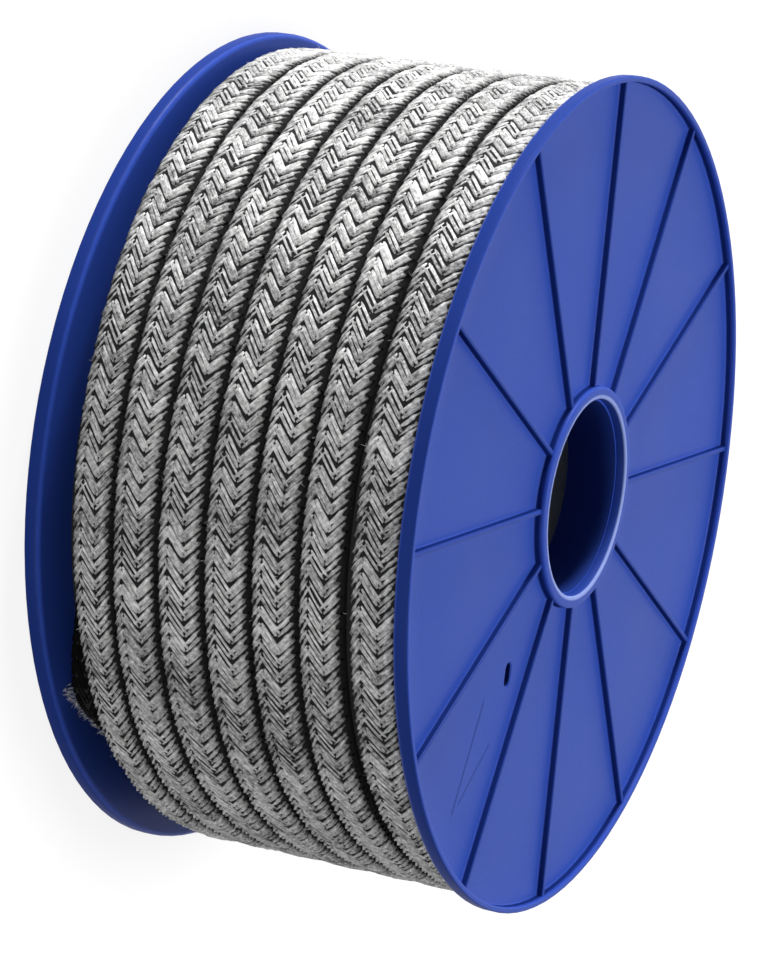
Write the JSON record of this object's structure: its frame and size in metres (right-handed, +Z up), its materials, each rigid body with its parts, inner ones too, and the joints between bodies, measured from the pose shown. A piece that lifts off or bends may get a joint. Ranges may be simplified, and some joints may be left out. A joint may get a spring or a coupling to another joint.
{
  "type": "reel of braided gland packing",
  "caption": "Moulded plastic reel wound with square braided graphite gland packing, with a round bore through its hub.",
  "frame": {"origin": "centre of the reel's axis, in the plane of the bottom flange's outer face, on which the reel stands", "axes": "+Z up along the reel's axis, from the bottom flange to the top flange, whose outer face the picture shows; +X towards the side that the picture shows of the winding"},
  "size_m": [0.22, 0.22, 0.1045],
  "materials": {
    "blue_plastic": "moulded plastic with a low gloss",
    "grey_board": "matt grey board tube",
    "graphite_braid": "silvery grey braid with dark gaps between its strands"
  },
  "bodies": {
    "root": {"bottom_flange": "blue_plastic", "top_flange": "blue_plastic", "core_tube": "grey_board", "packing_winding": "graphite_braid"}
  },
  "joints": []
}
